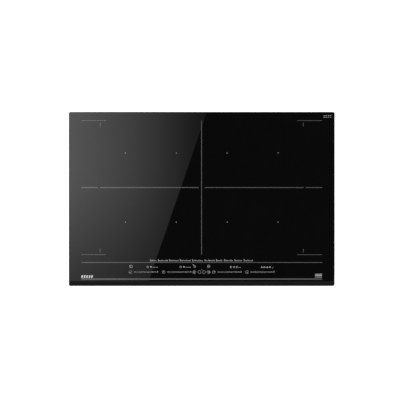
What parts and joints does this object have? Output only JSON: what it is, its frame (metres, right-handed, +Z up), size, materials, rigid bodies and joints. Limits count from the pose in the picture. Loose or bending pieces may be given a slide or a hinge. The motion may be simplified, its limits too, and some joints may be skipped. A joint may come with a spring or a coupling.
{
  "type": "induction hob",
  "caption": "Built-in black glass induction hob with flexible zones, slider touch controls, a vented steel casing, side fixing springs and a rear terminal box with a hinged lid.",
  "frame": {"origin": "centre of the worktop cut-out, on the worktop's surface, which is also the underside of the seal and of the support frame's flange", "axes": "+X to the cook's right, +Y to the rear, +Z up, out of the worktop"},
  "size_m": [0.8, 0.524, 0.0525],
  "materials": {
    "galvanised_sheet": "hot-dip galvanised, small spangle",
    "dark_moulding": "fine moulded grain",
    "capacitor_case": "moulded case",
    "choke_enamel": "enamelled winding on an iron core",
    "spring_steel": "spring steel",
    "screw_zinc": "bright zinc",
    "coil_moulding": "glass-filled thermoplastic",
    "lead_sleeve": "glass-fibre sleeve",
    "coil_litz": "enamelled litz wire",
    "coil_plate_aluminium": "mill finish",
    "block_moulding": "polyamide",
    "display_window": "red diffuser",
    "stator_varnish": "varnished winding",
    "rotor_moulding": "satin moulding",
    "ferrite": "sintered ferrite",
    "silicone": "silicone bead",
    "glass_ceramic": "polished black glass-ceramic",
    "sink_aluminium": "extruded",
    "mica": "pressed mica",
    "circuit_board": "solder mask",
    "epoxy_package": "moulded epoxy",
    "ribbon_sleeve": "flat PVC cable",
    "supply_sleeve": "PVC insulation",
    "sensor_cup": "silicone",
    "terminal_moulding": "fine moulded grain",
    "terminal_brass": "nickelled brass",
    "touch_moulding": "fine moulded grain",
    "seal_foam": "closed-cell foam tape"
  },
  "bodies": {
    "casing": {"base_tray": "galvanised_sheet", "board_carrier_left": "dark_moulding", "board_carrier_right": "dark_moulding", "capacitors": "capacitor_case", "chokes": "choke_enamel", "clip_feet": "spring_steel", "clip_screws": "screw_zinc", "coil_leads_left": "lead_sleeve", "coil_leads_right": "lead_sleeve", "cord_clamp": "block_moulding", "display_modules": "display_window", "fan_housing_left": "dark_moulding", "fan_housing_right": "dark_moulding", "fan_motors": "stator_varnish", "frame_screws": "screw_zinc", "glass_bond": "silicone", "glass_panel": "glass_ceramic", "heat_sink_left": "sink_aluminium", "heat_sink_right": "sink_aluminium", "plate_springs_left": "spring_steel", "plate_springs_right": "spring_steel", "power_board_left": "circuit_board", "power_board_right": "circuit_board", "power_transistors": "epoxy_package", "ribbon_cable": "ribbon_sleeve", "supply_leads": "supply_sleeve", "support_frame": "galvanised_sheet", "terminal_block": "block_moulding", "terminal_box": "terminal_moulding", "terminal_screws": "terminal_brass", "touch_board": "circuit_board", "touch_carrier": "touch_moulding", "worktop_seal": "seal_foam"},
    "fan_left": {"fan_rotor_left": "rotor_moulding"},
    "fan_right": {"fan_rotor_right": "rotor_moulding"},
    "lid": {"terminal_lid": "terminal_moulding"},
    "coil_deck_left": {"coil_carrier_left_front": "coil_moulding", "coil_carrier_left_rear": "coil_moulding", "coil_left_front_inner": "coil_litz", "coil_left_front_outer": "coil_litz", "coil_left_rear_inner": "coil_litz", "coil_left_rear_outer": "coil_litz", "coil_plate_left": "coil_plate_aluminium", "ferrite_bars_left": "ferrite", "mica_sheet_left": "mica", "temperature_sensors_left": "sensor_cup"},
    "coil_deck_right": {"coil_carrier_right_front": "coil_moulding", "coil_carrier_right_rear": "coil_moulding", "coil_plate_right": "coil_plate_aluminium", "coil_right_front_inner": "coil_litz", "coil_right_front_outer": "coil_litz", "coil_right_rear_inner": "coil_litz", "coil_right_rear_outer": "coil_litz", "ferrite_bars_right": "ferrite", "mica_sheet_right": "mica", "temperature_sensors_right": "sensor_cup"},
    "clip_left_front": {"clip_leaf_left_front": "spring_steel"},
    "clip_left_rear": {"clip_leaf_left_rear": "spring_steel"},
    "clip_right_front": {"clip_leaf_right_front": "spring_steel"},
    "clip_right_rear": {"clip_leaf_right_rear": "spring_steel"}
  },
  "joints": [
    {"name": "fan_left_spin", "type": "hinge", "parent": "casing", "child": "fan_left", "pos_m": [-0.07, 0.11, -0.03], "axis": [0, 0, 1], "continuous": true},
    {"name": "fan_right_spin", "type": "hinge", "parent": "casing", "child": "fan_right", "pos_m": [0.07, 0.11, -0.03], "axis": [0, 0, 1], "continuous": true},
    {"name": "terminal_lid_hinge", "type": "hinge", "parent": "casing", "child": "lid", "pos_m": [0.3, 0.2416, -0.0434], "axis": [-1, 0, 0], "range_deg": [0, 90]},
    {"name": "clip_left_front_flex", "type": "hinge", "parent": "casing", "child": "clip_left_front", "pos_m": [-0.3714, -0.15, -0.0126], "axis": [0, -1, 0], "range_deg": [0, 12], "stiffness_Nm_per_rad": 0.8},
    {"name": "clip_left_rear_flex", "type": "hinge", "parent": "casing", "child": "clip_left_rear", "pos_m": [-0.3714, 0.15, -0.0126], "axis": [0, -1, 0], "range_deg": [0, 12], "stiffness_Nm_per_rad": 0.8},
    {"name": "clip_right_front_flex", "type": "hinge", "parent": "casing", "child": "clip_right_front", "pos_m": [0.3714, -0.15, -0.0126], "axis": [0, 1, 0], "range_deg": [0, 12], "stiffness_Nm_per_rad": 0.8},
    {"name": "clip_right_rear_flex", "type": "hinge", "parent": "casing", "child": "clip_right_rear", "pos_m": [0.3714, 0.15, -0.0126], "axis": [0, 1, 0], "range_deg": [0, 12], "stiffness_Nm_per_rad": 0.8},
    {"name": "coil_deck_left_press", "type": "slide", "parent": "casing", "child": "coil_deck_left", "axis": [0, 0, 1], "range_m": [-0.002, 0], "stiffness_N_per_m": 20000, "springref_m": 0.003, "deforming": ["plate_springs_left", "coil_leads_left"]},
    {"name": "coil_deck_right_press", "type": "slide", "parent": "casing", "child": "coil_deck_right", "axis": [0, 0, 1], "range_m": [-0.002, 0], "stiffness_N_per_m": 20000, "springref_m": 0.003, "deforming": ["plate_springs_right", "coil_leads_right"]}
  ]
}
